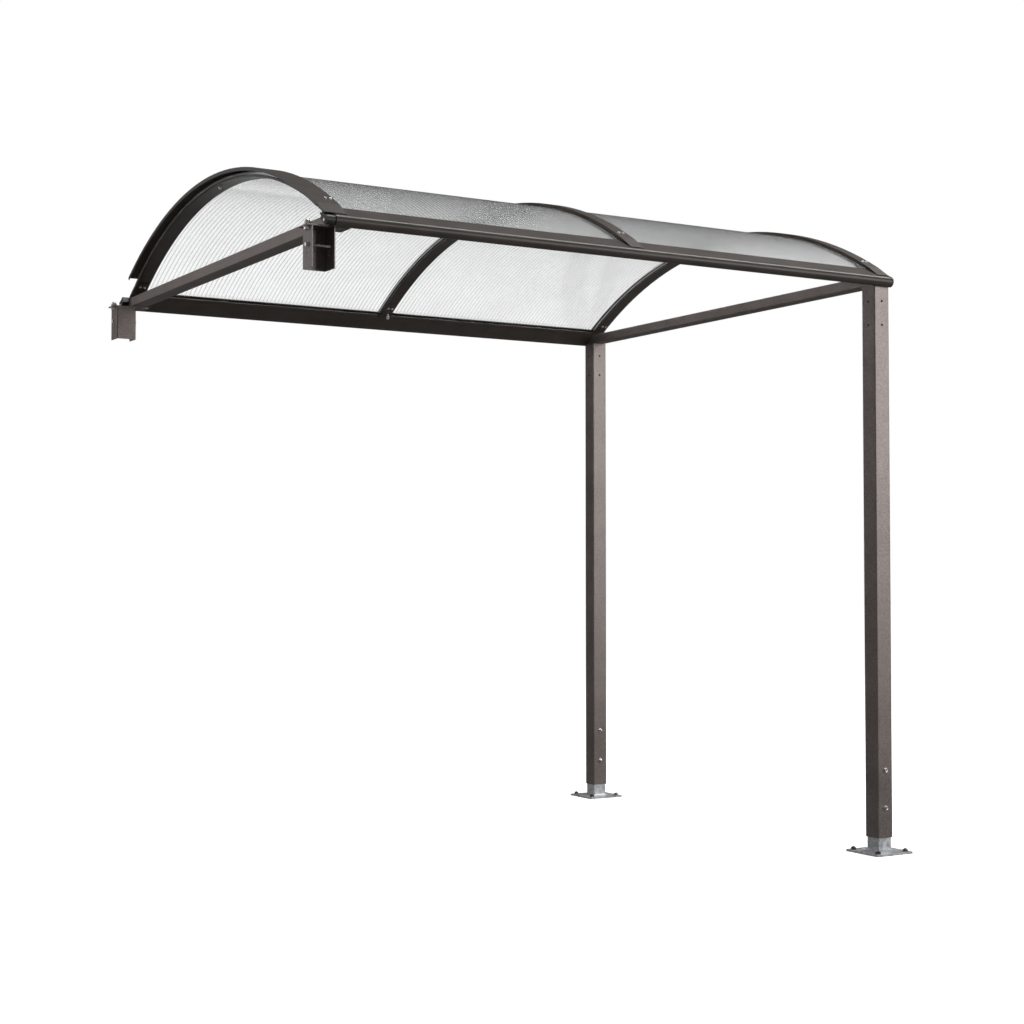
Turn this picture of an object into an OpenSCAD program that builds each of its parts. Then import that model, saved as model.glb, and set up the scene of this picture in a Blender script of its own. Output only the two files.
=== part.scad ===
// Extension bay of a vaulted bicycle shelter. Two posts stand at the right end. The left end
// hangs on a neighbouring bay, whose posts it clasps with two channel brackets.
// X runs along the bay, Y from front to back, Z up. The origin is on the ground, under the
// middle of the front foot plate.

/* [Bay] */
// Distance between the centres of the front and back posts
post_spacing = 2160; // [1700:1:2700]
// Distance between the centres of two neighbouring ribs
rib_pitch = 1250; // [900:1:1600]
// Height of the top of the posts above the ground
post_top = 2370; // [1800:1:2900]
// Radius of the underside of the ribs
arch_radius = 2024; // [1650:1:2600]

/* [Posts] */
// Width of a square post
post_w = 80; // [64:1:100]
// Wall of a post
post_wall = 4; // [2:0.5:6]
// Height of the lower end of a post above the ground
post_bottom = 65; // [40:1:120]
// Outer corner radius of a post
post_corner = 6; // [4:0.5:10]
// Thickness of the plate that closes the top of a post
top_plate_t = 5; // [3:0.5:10]
// Diameter of the spare bolt holes near the top of a post
post_hole_d = 10; // [6:0.5:14]
// Distance of the upper spare hole below the top of a post
post_hole_drop = 61; // [40:1:90]
// Distance between the upper and the lower spare hole
post_hole_pitch = 100; // [40:1:200]

/* [Feet] */
// Side of a square foot plate
foot_plate_w = 200; // [160:1:260]
// Thickness of a foot plate
foot_plate_t = 8; // [6:0.5:15]
// Corner radius of a foot plate
foot_plate_corner = 12; // [4:1:24]
// Distance between two anchor holes along a side
anchor_pitch = 150; // [130:1:180]
// Diameter of an anchor hole
anchor_hole_d = 14; // [8:0.5:20]
// Height of the top of a foot stub above the ground
stub_top = 395; // [370:1:600]
// Wall of a foot stub
stub_wall = 3; // [2:0.5:6]
// Clearance between a stub and the post around it
stub_clearance = 0.3; // [0.1:0.1:0.5]
// Diameter of the bolts that hold a post on its stub
foot_bolt_d = 10; // [6:0.5:14]
// Height of the lower foot bolt above the ground
foot_bolt_low = 189; // [130:1:220]
// Height of the upper foot bolt above the ground
foot_bolt_high = 345; // [260:1:355]

/* [Cross beams] */
// Width of a cross beam
cross_w = 65; // [40:1:70]
// Height of a cross beam
cross_h = 45; // [30:1:50]
// Wall of a cross beam
cross_wall = 3; // [2:0.5:5]
// Outer corner radius of a cross beam
cross_corner = 5; // [4:0.5:8]

/* [Edge beams] */
// Gap between the top of a post and the underside of the beam above its outer edge
beam_post_gap = 1.6; // [1.5:0.1:4]
// Radius of the round nose
nose_r = 21; // [18:0.5:25]
// Distance from the inner end of the profile to the centre of the nose
nose_u = 93; // [80:1:120]
// Depth of the nose below the ribs' underside, from where the beam's underside tapers inwards
beam_drop = 15; // [13:0.5:20]
// Wall of the profile
beam_wall = 3; // [2:0.5:4]
// Distance of the inner end of the profile inside the post centre
beam_inset = 33; // [25:1:50]
// Thickness of the upper lip at its edge
lip_t = 2; // [1.5:0.5:3]
// Thickness of the lower lip at its edge
lower_lip_t = 3; // [2:0.5:5]
// Depth of the slot that takes the ribs and the roof panels
slot_depth = 48; // [40:1:60]
// Distance of the left end of the beams past the middle of the left rib
beam_left_over = 25; // [10:1:28]
// Distance of the right end of the beams past the middle of the right rib
beam_right_over = 33; // [31:1:36]
// Thickness of the end caps
end_cap_t = 6; // [3:0.5:10]
// Margin of an end cap around the profile
end_cap_margin = 1; // [0.5:0.5:1.5]
// Length of the splice inserts inside the beams
insert_held = 120; // [60:1:200]
// Length of the splice inserts that stands out towards the neighbouring bay
insert_out = 35; // [10:1:60]
// Clearance around a splice insert
insert_clearance = 0.3; // [0.1:0.1:0.5]

/* [Roof] */
// Width of a rib
rib_w = 60; // [50:1:70]
// Thickness of a rib
rib_t = 8; // [5:0.5:12]
// Depth of the ribs in the slots
rib_held = 30; // [20:1:38]
// Thickness of the seal strips on the ribs
seal_t = 2; // [1.5:0.5:3]
// Width of one seal strip
seal_w = 13; // [8:0.5:15]
// Thickness of the roof panels
panel_t = 10; // [6:0.5:12]
// Gap between the two panels above the middle rib
panel_gap = 32; // [26:1:40]
// Distance of a panel's outer edge from the edge of the end rib
panel_edge = 2; // [0:0.5:6]
// Depth of the panels in the slots
panel_held = 40; // [30:1:44]
// Clearance between a panel and the sides of its slot
slot_clearance = 0.5; // [0.3:0.1:1]

/* [Roof caps] */
// Width of the middle and right caps
cap_w = 61; // [54:1:66]
// Height of a cap
cap_h = 14; // [11:0.5:18]
// Wall of a cap
cap_wall = 2.5; // [1.5:0.5:4]
// Width of the left cap, which also covers the neighbouring bay's panel
left_cap_w = 88; // [70:1:110]
// Distance of the left cap's inner side from the middle of the left rib
left_cap_inner = 24; // [20:1:30]
// Distance along the arch by which the left cap stops short of the back beam
left_cap_short = 69; // [64:1:90]
// Length of the caps' tails over the lips, from the inner end of the profile
cap_tail = 78; // [60:1:88]
// Thickness of a cap's tail at its tip
cap_tip = 1.5; // [1:0.5:3]
// Clearance between a cap's tail and the lip under it
tail_clearance = 0.6; // [0.3:0.1:1]

/* [Rib brackets] */
// Width of the leg under the rib
leg_w = 48; // [36:1:56]
// Length of the leg under the rib
leg_l = 84; // [66:1:100]
// Thickness of a rib bracket
leg_t = 5; // [3:0.5:6]
// Width of the flange under the edge beam
flange_w = 80; // [62:1:90]
// Length of the flange under the edge beam
flange_l = 10; // [8:0.5:13]
// Distance of the rib bolts from the inner end of the profile
rib_bolt_u = 56; // [30:1:58]
// Distance between the two bolts of a pair
bolt_pitch = 20; // [16:1:20]
// Diameter of the rib bolt holes
rib_hole_d = 6.5; // [4:0.5:8]

/* [Neighbour brackets] */
// Distance of the neighbour's posts past the middle of the left rib
neighbour_over = 60; // [50:1:80]
// Wall of a channel bracket
channel_wall = 4; // [2:0.5:5]
// Clearance between a channel bracket and the post it clasps
channel_clearance = 0.3; // [0.1:0.1:1]
// Outer bend radius of a channel bracket
channel_bend = 6; // [5.5:0.5:8]
// Depth of a channel bracket from the back of its web to the edge of its flanges
channel_d = 82; // [60:1:90]
// Height of a channel bracket
channel_h = 145; // [110:1:200]
// Diameter of the bolt hole through both flanges
channel_hole_d = 13; // [8:0.5:16]
// Distance of the bolt hole below the top of the bracket
channel_hole_drop = 63; // [45:1:75]
// Diameter of the two small holes in each flange
pin_hole_d = 6; // [4:0.5:7]
// Distance of the upper small hole below the bolt hole
pin_hole_drop = 15; // [13:0.5:20]
// Distance between the two small holes
pin_hole_pitch = 14; // [10:0.5:18]
// Distance of the small holes behind the bolt hole, towards the web
pin_hole_back = 8; // [0:0.5:12]
// Length of a bracket's top plate to the left of the neighbour's post centre
plate_left = 60; // [50:1:80]
// Length of a bracket's top plate to the right of the neighbour's post centre
plate_right = 104; // [95:1:120]

/* [Hidden] */
$fn = 48;
// The arch is so large that a full circle of it takes this many steps
arch_fn = 480;

// Paint, metal and plastic colours
PAINT = "#8d857f";
ZINC = "#b9bcbd";
DARK = "#2f2e2d";
SHEET = "#c9cfcf";

// Rib positions along the bay
rib_x = [-2 * rib_pitch, -rib_pitch, 0];
neighbour_x = rib_x[0] - neighbour_over;
beam_x = [rib_x[0] - beam_left_over, beam_right_over];

// The arch meets the inner end of an edge beam at the eave point. There the profile's own
// axes are u, down and outwards along the arch, and v, square to it and outwards.
half_span = post_spacing / 2;
eave_y = beam_inset;
eave_angle = asin((half_span - eave_y) / arch_radius);
// The curved ribs dip this much below the straight slots
rib_sag = rib_held * rib_held / (2 * arch_radius);
slot_low = -rib_sag - slot_clearance;
// The beam's underside runs from the lower lip's edge, at this height v, down to the nose
under_v = slot_low - lower_lip_t;
beam_taper = atan((beam_drop + under_v) / nose_u);
under_angle = eave_angle + beam_taper;
under_y = eave_y - under_v * sin(eave_angle);
under_z = post_top + beam_post_gap + (post_w / 2 + under_y) * tan(under_angle);
eave_z = under_z - under_v * cos(eave_angle);
arch_z = eave_z - arch_radius * cos(eave_angle);

// Heights above the ribs' underside, square to the arch
seal_v = rib_t;
panel_v = seal_v + seal_t;
cap_v = panel_v + panel_t;
slot_high = cap_v + slot_clearance;
nose_v = nose_r - beam_drop;
tail_v = nose_v + nose_r + tail_clearance;

// Heights above the ground
cross_z = post_top + top_plate_t;
stub_w = post_w - 2 * post_wall - 2 * stub_clearance;
channel_w = post_w + 2 * (channel_wall + channel_clearance);
web_y = channel_w / 2;
plate_y = under_y - (under_z - cross_z) / tan(under_angle) + 2 * end_cap_margin / sin(under_angle);
// Length by which a cut runs past a face
cut = 1;

// ---- Shared shapes -------------------------------------------------------------------------

// A rectangle with round corners, centred on the origin
module round_rect(w, h, r) {
    square([w - 2 * r, h], center = true);
    square([w, h - 2 * r], center = true);
    for (sx = [-1, 1], sy = [-1, 1])
        translate([sx * (w / 2 - r), sy * (h / 2 - r)]) circle(r);
}

// The wall of a rectangular tube
module tube_section(w, h, wall, r) {
    difference() {
        round_rect(w, h, r);
        round_rect(w - 2 * wall, h - 2 * wall, max(r - wall, 1));
    }
}

// Extrudes a section drawn in Y and Z from x0 to x1
module along_x(x0, x1) {
    translate([x0, 0, 0]) rotate([90, 0, 90]) linear_extrude(x1 - x0) children();
}

// Mirrors a front piece to the back of the bay
module at_back() {
    translate([0, post_spacing, 0]) mirror([0, 1, 0]) children();
}

// Places a section drawn in u and v at the front eave
module at_eave() {
    translate([eave_y, eave_z]) rotate(eave_angle) mirror([1, 0]) children();
}

// Places a section drawn along the beam's underside, from the lower lip's edge
module along_underside() {
    translate([0, under_v]) rotate(-beam_taper) children();
}

// Sweeps a section drawn in radius and X along the arch, over these angles from the crown
module along_arch(front_angle, back_angle) {
    translate([0, half_span, arch_z])
        rotate([0, 90, 0])
            rotate_extrude(
                angle = front_angle + back_angle, start = 180 - back_angle, $fn = arch_fn
            ) children();
}

// The angle from the crown of a place on the ribs' underside, this far from the eave point
function arch_angle(u) = eave_angle + u / arch_radius * 180 / PI;

// Pairs of holes square to the arch at a rib, on the sides given as 1 for front, -1 for back
module rib_holes(x, u, sides, d = rib_hole_d) {
    for (side = sides, s = [-1, 1])
        translate([x + s * bolt_pitch / 2, half_span, arch_z])
            rotate([side * arch_angle(-u), 0, 0])
                translate([0, 0, arch_radius - 2 * leg_t])
                    cylinder(h = 4 * leg_t + cap_v + cap_h, d = d);
}

// ---- Feet ----------------------------------------------------------------------------------

module foot_plate() {
    color(ZINC)
        difference() {
            linear_extrude(foot_plate_t) round_rect(foot_plate_w, foot_plate_w, foot_plate_corner);
            for (sx = [-1, 1], sy = [-1, 1])
                translate([sx * anchor_pitch / 2, sy * anchor_pitch / 2, -cut])
                    cylinder(h = foot_plate_t + 2 * cut, d = anchor_hole_d);
        }
}

// The bolt holes that run through a stub and the post around it, from front to back
module foot_bolt_holes() {
    for (z = [foot_bolt_low, foot_bolt_high])
        translate([0, post_w / 2 + cut, z])
            rotate([90, 0, 0]) cylinder(h = post_w + 2 * cut, d = foot_bolt_d);
}

module foot_stub() {
    color(ZINC)
        difference() {
            translate([0, 0, foot_plate_t])
                linear_extrude(stub_top - foot_plate_t)
                    tube_section(stub_w, stub_w, stub_wall, post_corner - 1);
            foot_bolt_holes();
        }
}

// ---- Posts ---------------------------------------------------------------------------------

// Spare bolt holes across the post in both directions, an upper and a lower one
module post_top_holes() {
    for (k = [0, 1])
        translate([0, 0, post_top - post_hole_drop - k * post_hole_pitch]) {
            rotate([90, 0, 0]) cylinder(h = post_w + 2 * cut, d = post_hole_d, center = true);
            rotate([0, 90, 0]) cylinder(h = post_w + 2 * cut, d = post_hole_d, center = true);
        }
}

module post() {
    color(PAINT)
        difference() {
            translate([0, 0, post_bottom])
                linear_extrude(post_top - post_bottom)
                    tube_section(post_w, post_w, post_wall, post_corner);
            foot_bolt_holes();
            post_top_holes();
        }
}

// The plate on a post stops short of the edge beam in front of it
module post_plate() {
    color(PAINT)
        translate([-post_w / 2, plate_y, post_top])
            cube([post_w, post_w / 2 - plate_y, top_plate_t]);
}

// ---- Cross beams ---------------------------------------------------------------------------

// Everything above the underside of the front edge beam
module above_front_beam(x0, x1) {
    along_x(x0, x1) at_eave()
        along_underside() translate([-4 * post_w, 0]) square([8 * post_w, 4 * post_w]);
}

// A tube from beam to beam, with both ends cut to the slope of the beams' undersides
module cross_beam(x) {
    color(PAINT)
        difference() {
            translate([x, -post_w / 2, cross_z + cross_h / 2])
                rotate([-90, 0, 0])
                    linear_extrude(post_spacing + post_w)
                        tube_section(cross_w, cross_h, cross_wall, cross_corner);
            above_front_beam(x - cross_w, x + cross_w);
            at_back() above_front_beam(x - cross_w, x + cross_w);
        }
}

// ---- Edge beams ----------------------------------------------------------------------------

// The outside of the profile: two lips with a slot between them, and a round nose
module beam_outline() {
    polygon([
        [0, under_v],
        [nose_u, -beam_drop],
        [nose_u, nose_v + nose_r],
        [0, slot_high + lip_t],
        [0, slot_high],
        [slot_depth, slot_high],
        [slot_depth, slot_low],
        [0, slot_low]
    ]);
    translate([nose_u, nose_v]) circle(nose_r);
}

// The hollow of the profile, between the slot and the nose, drawn this much smaller
module beam_hollow(less = 0) {
    wall = beam_wall + less;
    u = slot_depth + wall;
    function floor_at(u) = under_v - u * tan(beam_taper) + wall / cos(beam_taper);
    polygon([
        [u, floor_at(u)],
        [nose_u, floor_at(nose_u)],
        [nose_u, slot_high - less],
        [u, slot_high - less]
    ]);
    translate([nose_u, nose_v]) circle(nose_r - wall);
}

module edge_beam() {
    color(PAINT)
        along_x(beam_x[0], beam_x[1]) at_eave()
            difference() {
                beam_outline();
                beam_hollow();
            }
}

module beam_end_cap() {
    m = end_cap_margin;
    color(DARK)
        along_x(beam_x[1], beam_x[1] + end_cap_t) at_eave() {
            polygon([
                [-m, under_v - m],
                [nose_u, -beam_drop - m],
                [nose_u, nose_v + nose_r + m],
                [-m, slot_high + lip_t + m]
            ]);
            translate([nose_u, nose_v]) circle(nose_r + m);
        }
}

module splice_insert() {
    color(DARK)
        along_x(beam_x[0] - insert_out, beam_x[0] + insert_held) at_eave()
            beam_hollow(insert_clearance);
}

// ---- Roof ----------------------------------------------------------------------------------

// A curved flat bar whose ends lie on the lower lips
module rib(x) {
    color(PAINT)
        difference() {
            along_arch(arch_angle(rib_held), arch_angle(rib_held))
                translate([arch_radius, x - rib_w / 2]) square([rib_t, rib_w]);
            rib_holes(x, rib_bolt_u, [-1, 1]);
        }
}

// Two soft strips along the edges of a rib, under the panels
module rib_seals(x) {
    color(DARK)
        for (side = [-1, 1])
            along_arch(eave_angle, eave_angle)
                translate([arch_radius + seal_v, x + side * (rib_w - seal_w) / 2 - seal_w / 2])
                    square([seal_t, seal_w]);
}

// A sheet from slot to slot, with a clearance hole for each bolt of the end rib it lies on
module panel(x0, x1, rib_at) {
    a = arch_angle(panel_held);
    color(SHEET)
        difference() {
            along_arch(a, a) translate([arch_radius + panel_v, x0]) square([panel_t, x1 - x0]);
            rib_holes(rib_at, rib_bolt_u, [-1, 1], rib_hole_d + 1);
        }
}

// The room above and below a cap's tail, which lies on the lip and thins towards its tip
module beside_tail() {
    u1 = cap_tail + cap_h;
    top = cap_v + cap_h;
    tip = tail_v + cap_tip;
    translate([-cut, 0]) square([u1 + cut, tail_v]);
    polygon([[0, top], [cap_tail, tip], [u1, tip], [u1, top + cut], [0, top + cut]]);
}

// A cap is an upside-down channel along the arch. It ends in solid tails over the lips of both
// beams, or open and this far short of the back one.
module cap(x0, x1, rib_at, back_short = 0) {
    tail = arch_angle(cap_tail);
    hollow = arch_angle(-cap_wall);
    is_short = back_short > 0;
    color(PAINT)
        difference() {
            along_arch(tail, is_short ? arch_angle(-back_short) : tail)
                translate([arch_radius + cap_v, x0]) square([cap_h, x1 - x0]);
            along_arch(hollow, is_short ? arch_angle(cut - back_short) : hollow)
                translate([arch_radius + cap_v - cut, x0 + cap_wall])
                    square([cap_h - cap_wall + cut, x1 - x0 - 2 * cap_wall]);
            along_x(x0 - cut, x1 + cut) at_eave() beside_tail();
            if (!is_short) at_back() along_x(x0 - cut, x1 + cut) at_eave() beside_tail();
            rib_holes(rib_at, rib_bolt_u, is_short ? [1] : [-1, 1]);
        }
}

// ---- Rib brackets --------------------------------------------------------------------------

// A bent plate whose leg follows the rib's underside and whose wider flange lies under the
// beam, where it is cut off at the end cap
module rib_bracket(x) {
    flange_right = min(x + flange_w / 2, beam_x[1]);
    color(PAINT)
        difference() {
            union() {
                along_arch(eave_angle, -arch_angle(-leg_l))
                    translate([arch_radius - leg_t, x - leg_w / 2]) square([leg_t, leg_w]);
                along_x(x - flange_w / 2, flange_right) at_eave() along_underside()
                    translate([-leg_t, -leg_t]) square([flange_l + leg_t, leg_t]);
            }
            rib_holes(x, rib_bolt_u, [1]);
        }
}

// ---- Brackets on the neighbour's posts -----------------------------------------------------

// The bent channel, with its web towards the middle of the bay
module channel_section() {
    r = channel_bend;
    difference() {
        union() {
            translate([-channel_w / 2, -channel_d]) square([channel_w, channel_d - r]);
            translate([r - channel_w / 2, -channel_d]) square([channel_w - 2 * r, channel_d]);
            for (s = [-1, 1]) translate([s * (channel_w / 2 - r), -r]) circle(r);
        }
        translate([channel_wall - channel_w / 2, -channel_d - cut])
            square([channel_w - 2 * channel_wall, channel_d - channel_wall + cut]);
    }
}

module channel_bracket() {
    across = channel_w + 2 * cut;
    color(PAINT)
        difference() {
            translate([neighbour_x, web_y, post_top - channel_h])
                linear_extrude(channel_h) channel_section();
            translate([neighbour_x, 0, post_top - channel_hole_drop])
                rotate([0, 90, 0]) cylinder(h = across, d = channel_hole_d, center = true);
            for (k = [0, 1])
                translate([neighbour_x, pin_hole_back,
                           post_top - channel_hole_drop - pin_hole_drop - k * pin_hole_pitch])
                    rotate([0, 90, 0]) cylinder(h = across, d = pin_hole_d, center = true);
        }
}

// The plate on the bracket also carries the left cross beam
module channel_plate() {
    color(PAINT)
        translate([neighbour_x - plate_left, plate_y, post_top])
            cube([plate_left + plate_right, web_y - plate_y, top_plate_t]);
}

// ---- Pieces --------------------------------------------------------------------------------

left_cap_x = [rib_x[0] + left_cap_inner - left_cap_w, rib_x[0] + left_cap_inner];
panel_outer = rib_w / 2 - panel_edge;

foot_plate();  // front_foot_plate
at_back() foot_plate();  // back_foot_plate
foot_stub();  // front_foot_stub
at_back() foot_stub();  // back_foot_stub
post();  // front_post
at_back() post();  // back_post
post_plate();  // front_post_plate
at_back() post_plate();  // back_post_plate
cross_beam(rib_x[0]);  // left_cross_beam
cross_beam(rib_x[2]);  // right_cross_beam
edge_beam();  // front_beam
at_back() edge_beam();  // back_beam
beam_end_cap();  // front_beam_end_cap
at_back() beam_end_cap();  // back_beam_end_cap
splice_insert();  // front_splice_insert
at_back() splice_insert();  // back_splice_insert
rib(rib_x[0]);  // left_rib
rib(rib_x[1]);  // middle_rib
rib(rib_x[2]);  // right_rib
rib_seals(rib_x[0]);  // left_rib_seals
rib_seals(rib_x[1]);  // middle_rib_seals
rib_seals(rib_x[2]);  // right_rib_seals
panel(rib_x[0] - panel_outer, rib_x[1] - panel_gap / 2, rib_x[0]);  // left_panel
panel(rib_x[1] + panel_gap / 2, rib_x[2] + panel_outer, rib_x[2]);  // right_panel
cap(left_cap_x[0], left_cap_x[1], rib_x[0], left_cap_short);  // left_cap
cap(rib_x[1] - cap_w / 2, rib_x[1] + cap_w / 2, rib_x[1]);  // middle_cap
cap(rib_x[2] - cap_w / 2, rib_x[2] + cap_w / 2, rib_x[2]);  // right_cap
rib_bracket(rib_x[0]);  // front_left_rib_bracket
rib_bracket(rib_x[1]);  // front_middle_rib_bracket
rib_bracket(rib_x[2]);  // front_right_rib_bracket
at_back() rib_bracket(rib_x[0]);  // back_left_rib_bracket
at_back() rib_bracket(rib_x[1]);  // back_middle_rib_bracket
at_back() rib_bracket(rib_x[2]);  // back_right_rib_bracket
channel_bracket();  // front_channel
at_back() channel_bracket();  // back_channel
channel_plate();  // front_channel_plate
at_back() channel_plate();  // back_channel_plate
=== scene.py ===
"""Finishes the extension bay of a vaulted bicycle shelter: paint, zinc, roof sheets, bolts."""
import math

import bmesh
import bpy
from mathutils import Matrix, Vector


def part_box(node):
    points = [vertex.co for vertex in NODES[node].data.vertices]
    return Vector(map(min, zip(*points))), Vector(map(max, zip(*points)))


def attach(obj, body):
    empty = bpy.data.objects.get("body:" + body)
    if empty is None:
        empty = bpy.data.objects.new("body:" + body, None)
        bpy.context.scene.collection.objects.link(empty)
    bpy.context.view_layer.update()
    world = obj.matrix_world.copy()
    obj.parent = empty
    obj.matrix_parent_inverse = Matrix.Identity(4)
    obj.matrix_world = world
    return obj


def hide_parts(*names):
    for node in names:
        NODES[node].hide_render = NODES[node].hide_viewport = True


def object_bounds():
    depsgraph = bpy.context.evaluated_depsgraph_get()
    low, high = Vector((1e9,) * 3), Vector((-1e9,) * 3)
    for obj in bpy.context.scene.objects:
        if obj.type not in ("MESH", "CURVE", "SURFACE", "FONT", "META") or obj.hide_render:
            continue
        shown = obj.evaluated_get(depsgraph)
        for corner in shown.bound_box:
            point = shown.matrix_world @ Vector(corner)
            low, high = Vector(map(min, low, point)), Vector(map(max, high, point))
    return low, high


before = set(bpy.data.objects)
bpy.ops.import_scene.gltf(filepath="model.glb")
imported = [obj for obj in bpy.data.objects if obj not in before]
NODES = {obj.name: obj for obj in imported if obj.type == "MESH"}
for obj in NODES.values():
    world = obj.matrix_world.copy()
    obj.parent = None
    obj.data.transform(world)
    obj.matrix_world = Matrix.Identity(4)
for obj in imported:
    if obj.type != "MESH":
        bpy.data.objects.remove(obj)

bl_info = {
    "name": "Bicycle shelter bay finish",
    "version": (1, 0, 0),
    "blender": (4, 5, 0),
    "location": "3D View > Sidebar > Shelter",
    "description": "Gives a vaulted shelter bay its paint, zinc, fluted roof sheets, bolts and stage",
    "category": "Object",
}

CAD_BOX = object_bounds()

# Pieces of the frame by finish
TEXTURED = [
    "front_post", "back_post", "front_post_plate", "back_post_plate",
    "left_cross_beam", "right_cross_beam",
    "front_channel", "back_channel", "front_channel_plate", "back_channel_plate",
]
SATIN = [
    "front_beam", "back_beam", "left_cap", "middle_cap", "right_cap",
    "left_rib", "middle_rib", "right_rib",
    "front_left_rib_bracket", "front_middle_rib_bracket", "front_right_rib_bracket",
    "back_left_rib_bracket", "back_middle_rib_bracket", "back_right_rib_bracket",
]
ZINCED = ["front_foot_plate", "back_foot_plate", "front_foot_stub", "back_foot_stub"]
END_CAPS = ["front_beam_end_cap", "back_beam_end_cap"]
INSERTS = ["front_splice_insert", "back_splice_insert"]
SEALS = ["left_rib_seals", "middle_rib_seals", "right_rib_seals"]
SIDES = {"front": 1, "back": -1}

# Levels of the room's light: overall, and from the sky, the floor and the left end
ROOM_LEVEL = 0.04
SKY_LEVEL = 0.1
FLOOR_LEVEL = 0.12
LEFT_LEVEL = 0.14
# Share of the white behind the sheets that mirrored rays don't get
MIRRORED_DIMMING = 0.5

# Edges of a new piece that bend by less than this are smooth
SMOOTH_ANGLE = math.radians(35)
TURNED_OVER = Matrix.Rotation(math.pi, 4, "X")

# Proportions of bolts, as shares of the thread's diameter
WASHER_RADIUS = 1.05
WASHER_HEIGHT = 0.2
HEX_WIDTH = 1.6
HEX_HEIGHT = 0.65
THREAD_PITCH = 0.16
GROOVE_WIDTH = 0.86


# ---- Sizes ---------------------------------------------------------------------------------------

class ShelterFinish(bpy.types.PropertyGroup):
    """Colours and gloss of the shelter's surfaces"""

    paint_colour: bpy.props.FloatVectorProperty(
        name="Textured paint", description="Colour of the textured coat on posts and channels",
        default=(0.213, 0.182, 0.171), size=3, min=0, max=1, subtype="COLOR")
    paint_roughness: bpy.props.FloatProperty(
        name="Paint roughness", description="Roughness of the textured coat",
        default=0.42, min=0.1, max=1, subtype="FACTOR")
    satin_colour: bpy.props.FloatVectorProperty(
        name="Satin paint", description="Colour of the smooth coat on edge beams, ribs and caps",
        default=(0.066, 0.053, 0.046), size=3, min=0, max=1, subtype="COLOR")
    satin_roughness: bpy.props.FloatProperty(
        name="Satin roughness", description="Roughness of the smooth coat",
        default=0.33, min=0.1, max=1, subtype="FACTOR")
    zinc_colour: bpy.props.FloatVectorProperty(
        name="Zinc", description="Colour of the galvanised feet",
        default=(0.60, 0.61, 0.63), size=3, min=0, max=1, subtype="COLOR")
    bolt_colour: bpy.props.FloatVectorProperty(
        name="Bolts", description="Colour of the bolts, nuts and washers",
        default=(0.74, 0.73, 0.72), size=3, min=0, max=1, subtype="COLOR")
    # Painted shade: the anchors get the bolts' plated steel darkened, for the dark look of their
    # heads on the foot plates
    shaded_anchor_colour: bpy.props.FloatVectorProperty(
        name="Anchors", description="Colour of the anchors in the foot plates",
        default=(0.17, 0.165, 0.16), size=3, min=0, max=1, subtype="COLOR")
    plastic_colour: bpy.props.FloatVectorProperty(
        name="Plastic", description="Colour of the splice inserts",
        default=(0.022, 0.021, 0.020), size=3, min=0, max=1, subtype="COLOR")
    rubber_colour: bpy.props.FloatVectorProperty(
        name="Rubber", description="Colour of the seal strips",
        default=(0.014, 0.014, 0.014), size=3, min=0, max=1, subtype="COLOR")
    sheet_colour: bpy.props.FloatVectorProperty(
        name="Sheet", description="Tint of the roof sheets",
        default=(0.96, 0.965, 0.965), size=3, min=0, max=1, subtype="COLOR")
    web_colour: bpy.props.FloatVectorProperty(
        name="Webs", description="Colour of the webs inside the roof sheets",
        default=(0.83, 0.84, 0.84), size=3, min=0, max=1, subtype="COLOR")


class ShelterRoof(bpy.types.PropertyGroup):
    """Sizes of the arch and of the fluted roof sheets"""

    arch_radius: bpy.props.FloatProperty(
        name="Arch radius", description="Radius of the underside of the ribs",
        default=2.024, min=1.5, max=3, unit="LENGTH")
    rib_thickness: bpy.props.FloatProperty(
        name="Rib thickness", description="Thickness of a rib",
        default=0.008, min=0.004, max=0.02, unit="LENGTH")
    eave_inset: bpy.props.FloatProperty(
        name="Eave inset", description="Distance of the ribs' ends inside the post centres",
        default=0.033, min=0.02, max=0.1, unit="LENGTH")
    sheet_thickness: bpy.props.FloatProperty(
        name="Sheet thickness", description="Thickness of a roof sheet",
        default=0.010, min=0.004, max=0.02, unit="LENGTH")
    sheet_held: bpy.props.FloatProperty(
        name="Held length", description="Length of a sheet inside the slot of an edge beam",
        default=0.040, min=0.02, max=0.08, unit="LENGTH")
    flute_pitch: bpy.props.FloatProperty(
        name="Flute pitch", description="Distance between two webs inside a sheet",
        default=0.0191, min=0.006, max=0.03, unit="LENGTH")
    web_thickness: bpy.props.FloatProperty(
        name="Web thickness", description="Thickness of a web inside a sheet",
        default=0.0008, min=0.0003, max=0.002, unit="LENGTH")
    skin_thickness: bpy.props.FloatProperty(
        name="Skin thickness", description="Thickness of the two skins of a sheet",
        default=0.0008, min=0.0003, max=0.002, unit="LENGTH")
    bracket_thickness: bpy.props.FloatProperty(
        name="Bracket thickness", description="Thickness of the rib brackets under the ribs",
        default=0.005, min=0.002, max=0.01, unit="LENGTH")
    arc_steps: bpy.props.IntProperty(
        name="Arc steps", description="Number of steps along the arch",
        default=64, min=16, max=160)


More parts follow.
